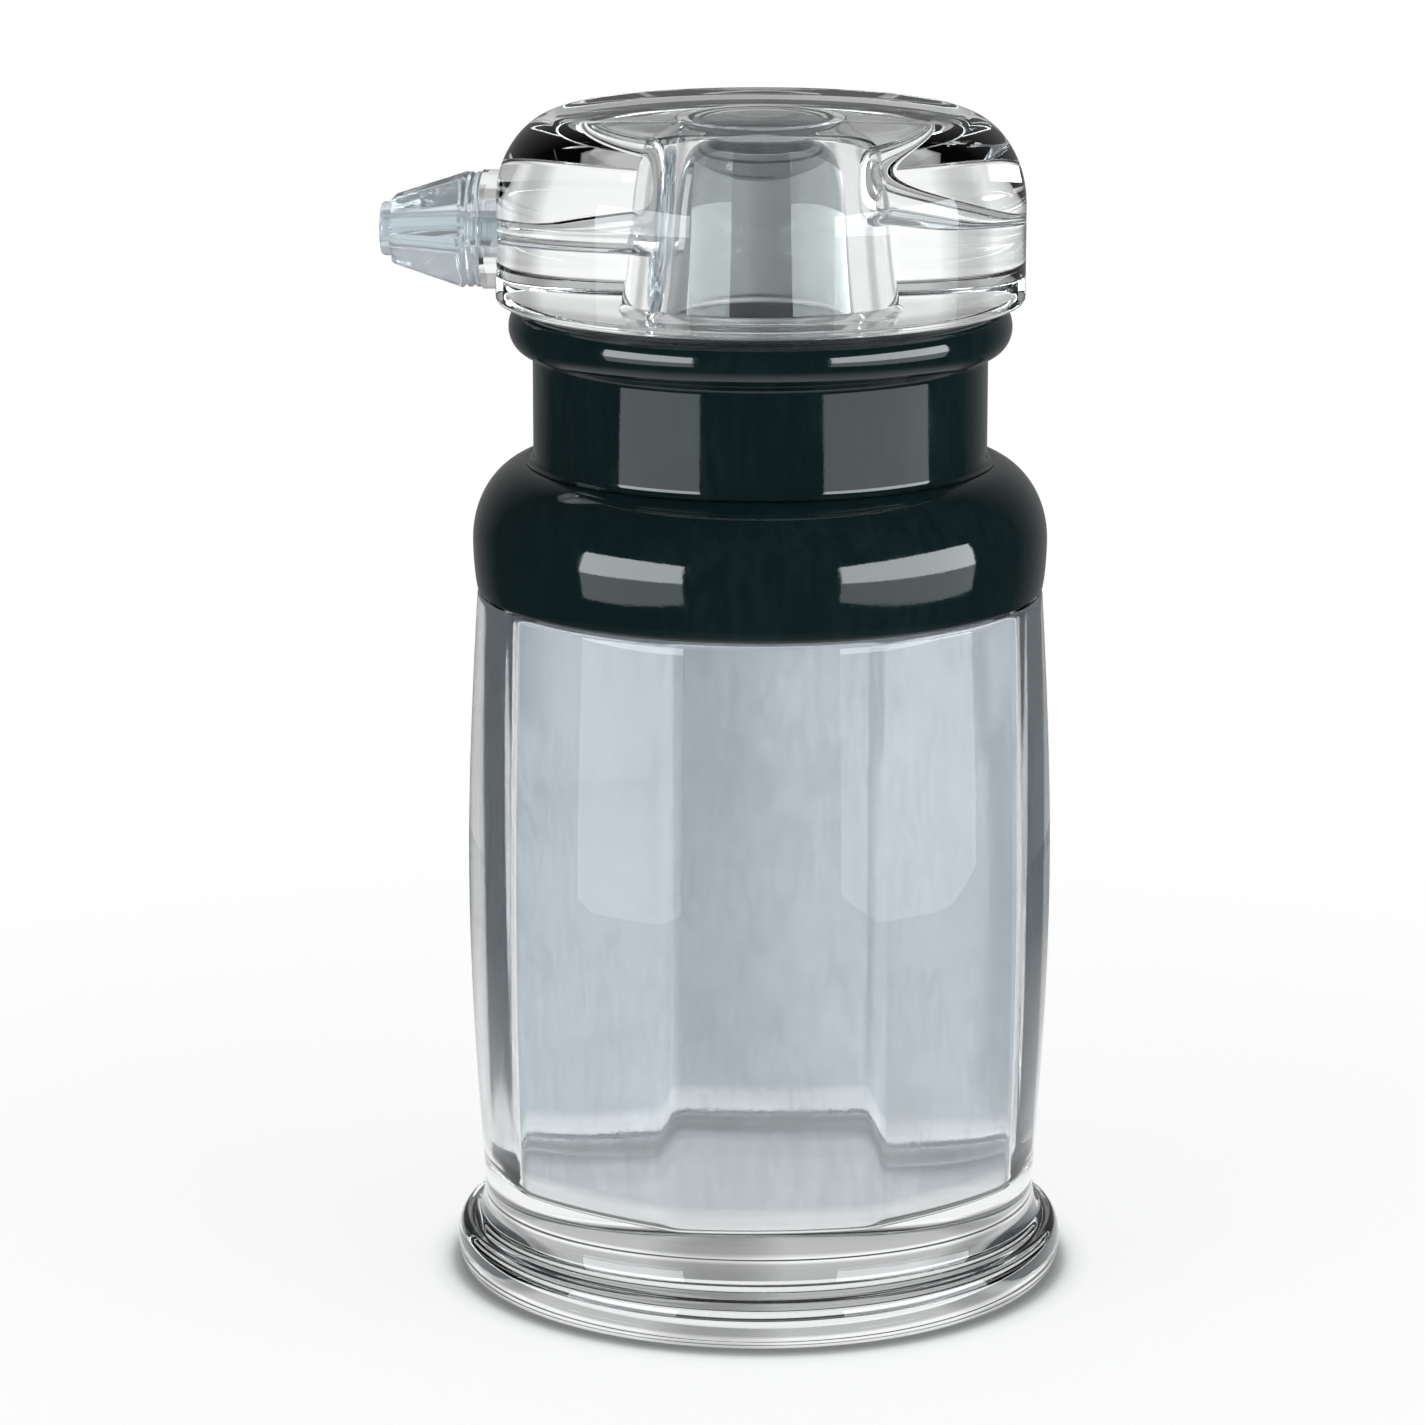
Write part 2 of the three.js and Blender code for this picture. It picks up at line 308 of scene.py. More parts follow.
def makeRippleGroup():
    # the faint waviness that a moulded or turned surface keeps
    inputs = {"Scale": 40.0, "Grain Scale": 2500.0, "Grain Share": 0.1}
    group, start, end = newGroup("mouldRipple", inputs, "Height")
    nodes, links = group.nodes, group.links
    coords = nodes.new("ShaderNodeTexCoord")
    wave = placeNoise(nodes, links, coords.outputs["Object"], start.outputs["Scale"], 1.0)
    grain = placeNoise(nodes, links, coords.outputs["Object"], start.outputs["Grain Scale"], 2.0)
    height = placeMath(nodes, links, "MULTIPLY_ADD", grain, start.outputs["Grain Share"], wave)
    links.new(height, end.inputs["Height"])
    return group


def makeBandGroup():
    # soft upright bands of tone about Z, from a direction or a place
    inputs = {"Vector": None, "Count": 8.0, "Turn": 0.0, "Tone": 0.6}
    group, start, end = newGroup("uprightBands", inputs, "Value")
    nodes, links = group.nodes, group.links
    split = nodes.new("ShaderNodeSeparateXYZ")
    links.new(start.outputs["Vector"], split.inputs[0])
    turn = placeMath(nodes, links, "ARCTAN2", split.outputs["Y"], split.outputs["X"])
    away = placeMath(nodes, links, "SUBTRACT", turn, start.outputs["Turn"])
    laps = placeMath(nodes, links, "MULTIPLY", away, start.outputs["Count"])
    wave = placeMath(nodes, links, "COSINE", laps)
    links.new(placeRange(nodes, links, wave, 0.2, 0.95, 1.0, start.outputs["Tone"]), end.inputs["Value"])
    return group


wipeMarks = makeScuffGroup()
uprightBands = makeBandGroup()
mouldRipple = makeRippleGroup()


def makeFinish(name, look):
    material = bpy.data.materials.new(name)
    material.use_nodes = True
    material.diffuse_color = (*look["colour"], 1)
    nodes, links = material.node_tree.nodes, material.node_tree.links
    shader = nodes["Principled BSDF"]
    shader.inputs["IOR"].default_value = look["ior"]
    shader.inputs["Transmission Weight"].default_value = look.get("clear", 0.0)
    shader.inputs["Coat Weight"].default_value = look.get("coat", 0.0)

    marks = placeGroup(nodes, wipeMarks, {"Scale": look["marksScale"], "Amount": look["marks"]})
    worn = marks.outputs["Mask"]
    rough = placeRange(nodes, links, worn, 0.0, 1.0, look["roughness"], look["roughnessWorn"])
    links.new(rough, shader.inputs["Roughness"])
    tint = nodes.new("ShaderNodeMix")
    tint.data_type = "RGBA"
    tint.inputs["A"].default_value = (*look["colour"], 1)
    tint.inputs["B"].default_value = (*look["colourWorn"], 1)
    links.new(worn, tint.inputs["Factor"])
    colour = tint.outputs["Result"]
    if "fade" in look:
        # the haze and its tint fade away towards the bottom
        coords = nodes.new("ShaderNodeTexCoord")
        split = nodes.new("ShaderNodeSeparateXYZ")
        links.new(coords.outputs["Object"], split.inputs[0])
        height = split.outputs["Z"]
        clear = placeRange(nodes, links, height, *look["fade"], 1.0, look["clear"])
        links.new(clear, shader.inputs["Transmission Weight"])
        faded = nodes.new("ShaderNodeMix")
        faded.data_type = "RGBA"
        faded.inputs["A"].default_value = (*look["colourFaded"], 1)
        links.new(placeRange(nodes, links, height, *look["fade"], 0.0, 1.0), faded.inputs["Factor"])
        links.new(colour, faded.inputs["B"])
        colour = faded.outputs["Result"]
    links.new(colour, shader.inputs["Base Color"])

    ripple = placeGroup(nodes, mouldRipple, {
        "Scale": look["rippleScale"],
        "Grain Scale": look["grainScale"],
        "Grain Share": look["grain"],
    })
    bump = nodes.new("ShaderNodeBump")
    bump.inputs["Strength"].default_value = look["bump"]
    bump.inputs["Distance"].default_value = look["bumpDepth"]
    links.new(ripple.outputs["Height"], bump.inputs["Height"])
    links.new(bump.outputs["Normal"], shader.inputs["Normal"])
    return material


clearPlastic = makeFinish("clearPlastic", {
    "colour": (0.975, 0.985, 0.985),
    "colourWorn": (0.95, 0.965, 0.97),
    "ior": 1.49,
    "clear": 1.0,
    "roughness": 0.0,
    "roughnessWorn": 0.03,
    "marksScale": 45.0,
    "marks": 0.35,
    "rippleScale": 55.0,
    "grainScale": 1500.0,
    "grain": 0.01,
    "bump": 0.07,
    "bumpDepth": 0.00025,
})
wellPlastic = makeFinish("wellPlastic", {
    "colour": (0.64, 0.70, 0.76),
    "colourWorn": (0.47, 0.535, 0.56),
    "colourFaded": (0.97, 0.98, 0.98),
    "fade": (12.5 * mm, 13.5 * mm),  # height at which it is clear, and at which it is hazy
    "ior": 1.49,
    "clear": 0.78,
    "roughness": 0.04,
    "roughnessWorn": 0.14,
    "marksScale": 70.0,
    "marks": 0.8,
    "rippleScale": 45.0,
    "grainScale": 1800.0,
    "grain": 0.05,
    "bump": 0.3,
    "bumpDepth": 0.0003,
})
chamberPlastic = makeFinish("chamberPlastic", {
    "colour": (0.34, 0.375, 0.375),
    "colourWorn": (0.27, 0.305, 0.31),
    "ior": 1.49,
    "clear": 0.85,
    "roughness": 0.01,
    "roughnessWorn": 0.05,
    "marksScale": 70.0,
    "marks": 0.6,
    "rippleScale": 60.0,
    "grainScale": 1800.0,
    "grain": 0.02,
    "bump": 0.06,
    "bumpDepth": 0.0002,
})
spoutPlastic = makeFinish("spoutPlastic", {
    "colour": (0.80, 0.86, 0.90),
    "colourWorn": (0.70, 0.76, 0.80),
    "ior": 1.49,
    "clear": 0.82,
    "roughness": 0.01,
    "roughnessWorn": 0.05,
    "marksScale": 120.0,
    "marks": 0.5,
    "rippleScale": 120.0,
    "grainScale": 2500.0,
    "grain": 0.02,
    "bump": 0.06,
    "bumpDepth": 0.0002,
})
blackPlastic = makeFinish("blackPlastic", {
    "colour": (0.003, 0.0085, 0.009),
    "colourWorn": (0.007, 0.016, 0.017),
    "ior": 1.52,
    "coat": 0.4,
    "roughness": 0.045,
    "roughnessWorn": 0.13,
    "marksScale": 60.0,
    "marks": 0.6,
    "rippleScale": 60.0,
    "grainScale": 2600.0,
    "grain": 0.06,
    "bump": 0.2,
    "bumpDepth": 0.0003,
})
silicone = makeFinish("silicone", {
    "colour": (0.018, 0.022, 0.022),
    "colourWorn": (0.032, 0.037, 0.037),
    "ior": 1.41,
    "roughness": 0.38,
    "roughnessWorn": 0.55,
    "marksScale": 120.0,
    "marks": 0.7,
    "rippleScale": 150.0,
    "grainScale": 4000.0,
    "grain": 0.5,
    "bump": 0.4,
    "bumpDepth": 0.0002,
})
print("finishes made")


# Thread, the same helix on the jar's mouth and in the collar

thread = {
    "pitch": 3.0 * mm,
    "depth": 0.8 * mm,
    "rootWidth": 1.5 * mm,
    "crestWidth": 0.7 * mm,
    "startAboveShoulder": 2.6 * mm,
    "jarTurns": 1.5,
    "collarTurns": 1.0,
    "collarStartTurn": 0.25,
}


# Jar

jar = {
    "sides": 288,
    "footHeight": 5.0 * mm,
    "footEdge": 1.2 * mm,
    "footFilletWidth": 1.7 * mm,
    "footFilletHeight": 4.2 * mm,
    "wallBottom": 29.5 * mm,
    "wallBulge": 1.3 * mm,
    "wallTop": 29.8 * mm,
    "shoulder": 73.7 * mm,
    "shoulderRound": 0.5 * mm,
    "mouth": 27.2 * mm,
    "mouthFootRound": 0.3 * mm,
    "threadWallFrom": 0.4 * mm,  # above the shoulder
    "wellCorner": 25.4 * mm,
    "wellTurn": 6.4,  # degrees
    "wellFloor": 10.5 * mm,
    "wellFloorRound": 1.2 * mm,
    "wellCrown": 0.0138,
    "wellSharpness": 90,
    "rimRound": 0.4 * mm,
}


def makeJar(size):
    sides = size["sides"]
    wellTurn = math.radians(size["wellTurn"])
    octagon = facetShape(8, sides, size["wellSharpness"], size["wellCrown"], wellTurn)
    ridge = threadSwell(
        thread["depth"], size["shoulder"] + thread["startAboveShoulder"], thread["jarTurns"], 0,
        thread["pitch"], thread["rootWidth"], thread["crestWidth"])
    foot = jarHigh.x
    half = size["footHeight"] / 2
    wallFoot = size["footHeight"] + size["footFilletHeight"]
    top = jarHigh.z

    outside = [(0, 0), (foot * 0.3, 0), (foot * 0.6, 0), (foot * 0.85, 0)]
    outside += arc(foot - size["footEdge"], half, size["footEdge"], half, -90, 90, 20)
    outside += arc(size["wallBottom"] + size["footFilletWidth"], wallFoot, size["footFilletWidth"],
                   size["footFilletHeight"], -90, -180, 10)
    wallSteps = 40
    edge = size["shoulderRound"]
    wallTop = size["shoulder"] - edge
    for i in range(1, wallSteps + 1):
        t = i / wallSteps
        straight = size["wallBottom"] + (size["wallTop"] - size["wallBottom"]) * t
        bulge = size["wallBulge"] * math.sin(math.pi * t)
        outside.append((straight + bulge, wallFoot + (wallTop - wallFoot) * t))
    outside += arc(size["wallTop"] - edge, wallTop, edge, edge, 0, 90, 5)[1:]
    mouthFoot = (size["mouth"], size["shoulder"])
    shoulderEdge = (size["wallTop"], size["shoulder"])
    outside += fillet(mouthFoot, shoulderEdge, (size["mouth"], top), size["mouthFootRound"])
    rings = [ring(r, z, sides) for r, z in outside]

    neckSteps = 34
    rim = size["rimRound"]
    neckLow, neckHigh = size["shoulder"] + size["threadWallFrom"], top - rim
    for i in range(neckSteps + 1):
        z = neckLow + (neckHigh - neckLow) * i / neckSteps
        rings.append(ring(size["mouth"], z, sides, None, ridge))
    for r, z in arc(size["mouth"] - rim, neckHigh, rim, rim, 0, 90, 4)[1:]:
        rings.append(ring(r, z, sides))

    # down into the well, from its softened rim to its rounded floor
    corner = size["wellCorner"]
    for r, z in arc(corner + rim, top - rim, rim, rim, 90, 180, 4):
        rings.append(ring(r, z, sides, octagon))
    rimEnd = len(rings) - 1
    floor, floorRound = size["wellFloor"], size["wellFloorRound"]
    low = floor + floorRound
    wellSteps = 12
    for i in range(1, wellSteps):
        rings.append(ring(corner, top - rim + (low - top + rim) * i / wellSteps, sides, octagon))
    wallEnd = len(rings)
    for r, z in arc(corner - floorRound, low, floorRound, floorRound, 0, -90, 8):
        rings.append(ring(r, z, sides, octagon))
    for share in (0.75, 0.4, 0.15, 0):
        rings.append(ring((corner - floorRound) * share, floor, sides, octagon))

    piece = skin("jarBody", rings, [clearPlastic, wellPlastic], lambda k: int(rimEnd <= k < wallEnd))
    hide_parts("jar")
    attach(piece, "jar")


makeJar(jar)
print("jar made")


# Gasket on the jar's rim

gasket = {
    "sides": 160,
    "inner": 25.8 * mm,
    "edgeRound": 0.25 * mm,
}


def makeGasket(size):
    inner, outer = size["inner"], gasketHigh.x
    low, high = gasketLow.z, gasketHigh.z
    section = rounded([(inner, low), (outer, low), (outer, high), (inner, high)], size["edgeRound"])
    piece = skin("jarGasket", [ring(r, z, size["sides"]) for r, z in section], [silicone])
    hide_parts("jar_gasket")
    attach(piece, "gasket")


makeGasket(gasket)
print("gasket made")


# Collar

collar = {
    "sides": 224,
    "edge": 29.8 * mm,
    "edgeRound": 0.35 * mm,
    "edgeLean": (0.15 * mm, 1.5 * mm),  # how far out and up the bead sets off from its edge
    "widestAbove": 5.2 * mm,
    "upperReach": 8.4 * mm,
    "neck": 23.8 * mm,
    "neckFillet": 0.7 * mm,
    "neckFootRound": 0.9 * mm,
    "neckFootSunk": 0.2 * mm,
    "neckTopSunk": 0.1 * mm,
    "lip": 26.3 * mm,
    "lipRound": 2.2 * mm,
    "lipHeight": 5.3 * mm,
    "throat": 20.7 * mm,
    "throatRound": 0.4 * mm,
    "throatStraight": 4.0 * mm,
    "funnelRise": 5.2 * mm,
    "funnelRound": 1.0 * mm,
    "seat": 25.8 * mm,
    "seatAboveGasket": 0.1 * mm,
    "seatRound": 0.2 * mm,
    "bore": 28.3 * mm,
    "boreRound": 0.3 * mm,
    "threadWallUnderSeat": 0.2 * mm,
}


def makeCollar(size):
    sides = size["sides"]
    bottom, top = collarLow.z, collarHigh.z
    widest = bottom + size["widestAbove"]
    beadTop = widest + size["upperReach"]
    neck, neckTop = size["neck"], top - size["lipHeight"]
    centre = neck - size["neckFillet"] / 2
    reach = collarHigh.x - centre
    share = (size["edge"] - centre) / reach
    lowerReach = size["widestAbove"] / math.sqrt(1 - share * share)
    edgeAngle = -math.degrees(math.asin(size["widestAbove"] / lowerReach))

    # up the bead from its lower edge
    edge, throat, bore = size["edge"], size["throat"], size["bore"]
    leanOut, leanUp = size["edgeLean"]
    outside = fillet((edge, bottom), (bore, bottom), (edge + leanOut, bottom + leanUp), size["edgeRound"])
    outside += arc(centre, widest, reach, lowerReach, edgeAngle + 4, 0, 14)
    outside += arc(centre, widest, reach, size["upperReach"], 4, 82, 26)

    # the neck, with a concave round at each end, and the lip
    half = size["lipHeight"] / 2
    lip = arc(size["lip"] - size["lipRound"], neckTop + half, size["lipRound"], half, -62, 80, 26)
    neckFoot = (neck, beadTop - size["neckFootSunk"])
    outside += fillet(neckFoot, outside[-1], (neck, neckTop), size["neckFootRound"], 6)
    outside += fillet((neck, neckTop - size["neckTopSunk"]), (neck, beadTop), lip[0], size["neckFillet"], 6)
    outside += lip

    # down the throat, out along the funnel and over the seat to the threaded bore
    seat = gasketHigh.z + size["seatAboveGasket"]
    funnelTop = seat + size["funnelRise"]
    outside += fillet((throat, top), (size["lip"], top), (throat, bottom), size["throatRound"])
    outside += [(throat, funnelTop + size["throatStraight"])]
    outside += fillet((throat, funnelTop), (throat, top), (size["seat"], seat), size["funnelRound"])
    outside += fillet((size["seat"], seat), (throat, funnelTop), (bore, seat), size["seatRound"])
    outside += [(bore, seat)]
    rings = [ring(r, z, sides) for r, z in outside]

    threadStart = jar["shoulder"] + thread["startAboveShoulder"] - thread["pitch"] / 4
    ridge = threadSwell(
        -thread["depth"], threadStart, thread["collarTurns"], thread["collarStartTurn"],
        thread["pitch"], thread["rootWidth"], thread["crestWidth"])
    boreSteps = 40
    boreRound = size["boreRound"]
    boreTop, boreBottom = seat - size["threadWallUnderSeat"], bottom + boreRound
    for i in range(boreSteps + 1):
        rings.append(ring(bore, boreTop + (boreBottom - boreTop) * i / boreSteps, sides, None, ridge))
    for r, z in arc(bore + boreRound, boreBottom, boreRound, boreRound, 180, 270, 3)[1:]:
        rings.append(ring(r, z, sides))
    piece = skin("collarRing", rings, [blackPlastic])
    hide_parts("collar")
    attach(piece, "collar")


makeCollar(collar)
print("collar made")


# Lid: a solid block with a chamber under it, a skirt that plugs into the collar and a boss for the spout

lid = {
    "sides": 224,
    "sideHeight": 10.0 * mm,
    "shoulderWidth": 7.6 * mm,
    "shoulderHeight": 9.6 * mm,
    "crown": 0.4 * mm,
    "lowerEdge": 0.5 * mm,
    "chamberMouth": 9.7 * mm,
    "mouthChamfer": 0.3 * mm,
    "mouthChamferRise": 0.4 * mm,
    "chamberBelly": 9.3 * mm,
    "chamberBellyHeight": 4.3 * mm,
    "chamberWaist": 8.8 * mm,
    "chamberTop": 3.6 * mm,
    "chamberHeight": 14.4 * mm,
    "chamberShoulder": 3.4 * mm,
    "skirtDepth": 6.3 * mm,
    "skirtOuter": 20.5 * mm,
    "skirtWall": 2.7 * mm,
    "skirtInnerRound": 0.4 * mm,
    "skirtOuterRound": 0.5 * mm,
    "skirtRootRound": 0.2 * mm,
    "groove": 19.15 * mm,
    "grooveGap": 0.1 * mm,
    "bossRadius": 6.2 * mm,
    "bossStand": 1.3 * mm,
    "boreRadius": 1.3 * mm,
    "socketRadius": 3.1 * mm,
    "socketDepth": 4.1 * mm,
    "ventRadius": 0.6 * mm,
    "ventAboveSpout": 1.6 * mm,
    "cutPast": 1.0 * mm,  # how far a hole's cut runs past its end
}
spoutAxis = (spoutLow.z + spoutHigh.z) / 2


def rod(radius, start, end, sides=64):
    rings = [ring(0, start, sides), ring(radius, start, sides), ring(radius, end, sides), ring(0, end, sides)]
    piece = skin("rod", rings, [clearPlastic])
    layAlongSpout(piece, spoutAxis)
    return piece


def smoothCurve(points, steps):
    # a smooth curve through the points
    curve = []
    ends = [points[0], *points, points[-1]]
    for k in range(1, len(ends) - 2):
        p0, p1, p2, p3 = [Vector(p) for p in ends[k - 1:k + 3]]
        for i in range(steps):
            t = i / steps
            curve.append(tuple(0.5 * (2 * p1 + (p2 - p0) * t + (2 * p0 - 5 * p1 + 4 * p2 - p3) * t ** 2
                                      + (3 * p1 - p0 - 3 * p2 + p3) * t ** 3)))
    return curve + [points[-1]]


def makeLid(size):
    sides = size["sides"]
    bottom = lidLow.z + size["skirtDepth"]
    radius = lidHigh.x
    top = lidHigh.z
    flat = radius - size["shoulderWidth"]

    # the chamber, from the middle of its roof down to its open mouth
    roofZ = bottom + size["chamberHeight"]
    roofR = size["chamberTop"]
    waist, waistZ = size["chamberWaist"], roofZ - size["chamberShoulder"]
    mouth = size["chamberMouth"]
    chamber = [(0, roofZ), (roofR * 0.5, roofZ)]
    chamber += arc(roofR, waistZ, waist - roofR, size["chamberShoulder"], 90, 8, 16)
    chamber += smoothCurve([
        (waist, waistZ),
        (size["chamberBelly"], bottom + size["chamberBellyHeight"]),
        (mouth, bottom + size["mouthChamferRise"]),
    ], 10)
    chamber += [(mouth + size["mouthChamfer"], bottom)]

    # the skirt, with the seal's groove in its outer wall
    outer, groove = size["skirtOuter"], size["groove"]
    inner = outer - size["skirtWall"]
    grooveLow, grooveHigh = sealLow.z - size["grooveGap"], sealHigh.z + size["grooveGap"]
    skirt = fillet((inner, bottom), (mouth, bottom), (inner, lidLow.z), size["skirtInnerRound"])
    skirt += fillet((inner, lidLow.z), (inner, bottom), (outer, lidLow.z), size["skirtInnerRound"])
    skirt += fillet((outer, lidLow.z), (inner, lidLow.z), (outer, bottom), size["skirtOuterRound"])
    skirt += [(outer, grooveLow), (groove, grooveLow), (groove, grooveHigh), (outer, grooveHigh)]
    skirt += fillet((outer, bottom), (outer, lidLow.z), (radius, bottom), size["skirtRootRound"])

    # the block, from its lower edge over its round shoulder to the crown
    edge = size["lowerEdge"]
    block = arc(radius - edge, bottom + edge, edge, edge, -90, 0, 6)
    block += [(radius, bottom + size["sideHeight"] * t) for t in (0.3, 0.5, 0.7, 0.85)]
    block += arc(flat, bottom + size["sideHeight"], size["shoulderWidth"], size["shoulderHeight"], 0, 86, 32)
    for share in (0.97, 0.8, 0.6, 0.4, 0.2, 0):
        block.append((flat * share, top - size["crown"] * share * share))
    piece = skin("lidBlock", [ring(r, z, sides) for r, z in chamber + skirt + block],
                 [clearPlastic, chamberPlastic], lambda k: int(k < len(chamber) - 2))

    # the boss with its socket and bore, and the vent on the other side
    face = radius + size["bossStand"]
    past = size["cutPast"]
    socketEnd = face - size["socketDepth"]
    carve(piece, rod(size["bossRadius"], flat, face, 96), "UNION")
    carve(piece, rod(size["socketRadius"], socketEnd, face + past), "DIFFERENCE")
    carve(piece, rod(size["boreRadius"], 0, socketEnd + past), "DIFFERENCE")
    vent = rod(size["ventRadius"], -radius - past, 0, 32)
    for vertex in vent.data.vertices:
        vertex.co.z += size["ventAboveSpout"]
    carve(piece, vent, "DIFFERENCE")
    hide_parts("lid")
    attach(piece, "lid")


makeLid(lid)
print("lid made")


# Seal on the lid's skirt

seal = {
    "sides": 160,
    "inner": 19.25 * mm,
    "edgeRound": 0.2 * mm,
}


def makeSeal(size):
    low, high = sealLow.z, sealHigh.z
    half, middle = (high - low) / 2, (high + low) / 2
    inner, outer = size["inner"], sealHigh.x
    section = fillet((inner, low), (inner, middle), (outer, low), size["edgeRound"])
    section += arc(outer - half, middle, half, half, -85, 85, 16)
    section += fillet((inner, high), (outer, high), (inner, middle), size["edgeRound"])
    piece = skin("lidSeal", [ring(r, z, size["sides"]) for r, z in section], [silicone])
    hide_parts("lid_seal")
    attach(piece, "lid")


makeSeal(seal)
print("seal made")


# Spout: a six-sided nose on a round flange, with a stem in the lid

spout = {
    "sides": 144,
    "stem": 3.0 * mm,
    "flange": 6.0 * mm,
    "flangeThickness": 1.5 * mm,
    "rootFlats": 11.4 * mm,
    "tipFlats": 6.9 * mm,
    "noseLength": 7.9 * mm,
    "tip": 2.8 * mm,
    "tipLength": 1.2 * mm,
    "bore": 1.3 * mm,
    "boreEndRound": 0.2 * mm,
    "grooveHalf": 0.3 * mm,
    "grooveDepth": 0.25 * mm,
    "edgeRound": 0.3 * mm,
    "cornerRound": 0.15 * mm,
    "flangeRound": 0.25 * mm,
    "tipRound": 0.5 * mm,
    "sharpness": 60,
}


def makeSpout(size):
    sides = size["sides"]
    hexagon = facetShape(6, sides, size["sharpness"], 0.0)
    end = -spoutLow.x
    tip = end - size["tipLength"]
    nose = tip - size["noseLength"]
    flangeEnd = nose - size["flangeThickness"]
    stemEnd = -spoutHigh.x
    stem, flange, nozzle, bore = size["stem"], size["flange"], size["tip"], size["bore"]
    edge, corner, flangeRound = size["edgeRound"], size["cornerRound"], size["flangeRound"]

    # the stem and the flange, with a groove round it
    outside = fillet((stem, stemEnd), (bore, stemEnd), (stem, flangeEnd), edge)
    outside += fillet((stem, flangeEnd), (stem, stemEnd), (flange, flangeEnd), corner)
    outside += fillet((flange, flangeEnd), (stem, flangeEnd), (flange, nose), flangeRound)
    groove, half = flangeEnd + size["flangeThickness"] / 2, size["grooveHalf"]
    outside += [(flange, groove - half), (flange - size["grooveDepth"], groove), (flange, groove + half)]
    outside += fillet((flange, nose), (flange, flangeEnd), (stem, nose), flangeRound)
    rings = [ring(r, x, sides) for r, x in outside]

    # the six-sided nose
    cornerOf = 1 / (2 * math.cos(math.pi / 6))
    root, front = size["rootFlats"] * cornerOf, size["tipFlats"] * cornerOf
    noseSteps = 8
    rings.append(ring(root - edge, nose, sides, hexagon))
    for i in range(noseSteps + 1):
        t = i / noseSteps
        x = nose + edge + (tip - nose - 2 * edge) * t
        rings.append(ring(root + (front - root) * t, x, sides, hexagon))
    rings.append(ring(front - edge, tip, sides, hexagon))

    # the round tip, and back through the bore
    mouth = fillet((nozzle, tip), (front, tip), (nozzle, end), corner)
    mouth += fillet((nozzle, end), (nozzle, tip), (bore, end), size["tipRound"], 6)
    mouth += fillet((bore, end), (nozzle, end), (bore, tip), edge)
    mouth += [(bore, tip - size["noseLength"] / 2)]
    mouth += fillet((bore, stemEnd), (bore, tip), (stem, stemEnd), size["boreEndRound"])
    rings += [ring(r, x, sides) for r, x in mouth]
    piece = skin("spoutNozzle", rings, [spoutPlastic])
    layAlongSpout(piece, spoutAxis)
    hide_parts("spout")
    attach(piece, "lid")


makeSpout(spout)
print("spout made")


# Studio: white table and surroundings, and a pair of softboxes on each side

studio = {
    "tableRadius": 0.20,
    "tableDrop": 0.2 * mm,
    "tableRings": 24,
    "tableSides": 96,
    # radius and tone: how white it is to the eye, how much of that a reflection shows, and its paint; the
    # dark ring under the foot, in the glow and in the paint, is painted shade
    "tableGlowWithFootShade": ((0.022, 0.80), (0.025, 0.12), (0.0325, 0.12), (0.036, 0.75), (0.10, 0.80), (0.19, 1.0)),
    "tableMirrored": ((0.045, 1.0), (0.150, 0.02)),
    "tablePaintWithFootShade": ((0.024, 0.93), (0.027, 0.20), (0.0325, 0.20), (0.034, 0.93)),
    "ambient": 0.75,
    "roomFront": 0.02,  # tone of the surroundings in a reflection, in front and at the sides
    "roomRear": 0.18,  # and behind
    "roomTurns": (0.60, 0.95),  # +Y share of the direction, where the one turns into the other
    # upward share of the direction and tone, as clear pieces show the surroundings
    "roomHeights": ((0.0, 1.0), (0.10, 1.0), (0.22, 0.50), (0.88, 0.50), (0.95, 1.0)),
    "bands": 8,
    "bandTurn": 87,  # degrees from +X
    "bandTone": 0.62,
    "boxDistance": 0.80,
    "boxColour": (0.90, 0.98, 1.0),
    "boxLeft": (52, 0.65),  # degrees left of the camera, width
    "boxRight": (-62, 0.95),
    "boxUpper": (0.29, 0.18, 6.0),  # height, centre, radiance
    "boxLower": (0.20, -0.065, 1.4),
}


def placeBands(nodes, links, vector, setup):
    bands = placeGroup(nodes, uprightBands, {
        "Count": setup["bands"],
        "Turn": math.radians(setup["bandTurn"]),
        "Tone": setup["bandTone"],
    })
    links.new(vector, bands.inputs["Vector"])
    return bands.outputs["Value"]


def makeTable(setup):
    ringCount, sides = setup["tableRings"], setup["tableSides"]
    verts, faces = [(0, 0, 0)], []
    for k in range(1, ringCount + 1):
        verts += ring(setup["tableRadius"] * k / ringCount, 0, sides)
    for i in range(sides):
        j = (i + 1) % sides
        faces.append((0, 1 + i, 1 + j))
        for k in range(ringCount - 1):
            a, b = 1 + k * sides, 1 + (k + 1) * sides
            faces.append((a + i, b + i, b + j, a + j))
    mesh = bpy.data.meshes.new("table")
    mesh.from_pydata(verts, [], faces)
    mesh.materials.append(makeTableFinish(setup))
    obj = bpy.data.objects.new("table", mesh)
    obj.location.z = -setup["tableDrop"]
    scene.collection.objects.link(obj)


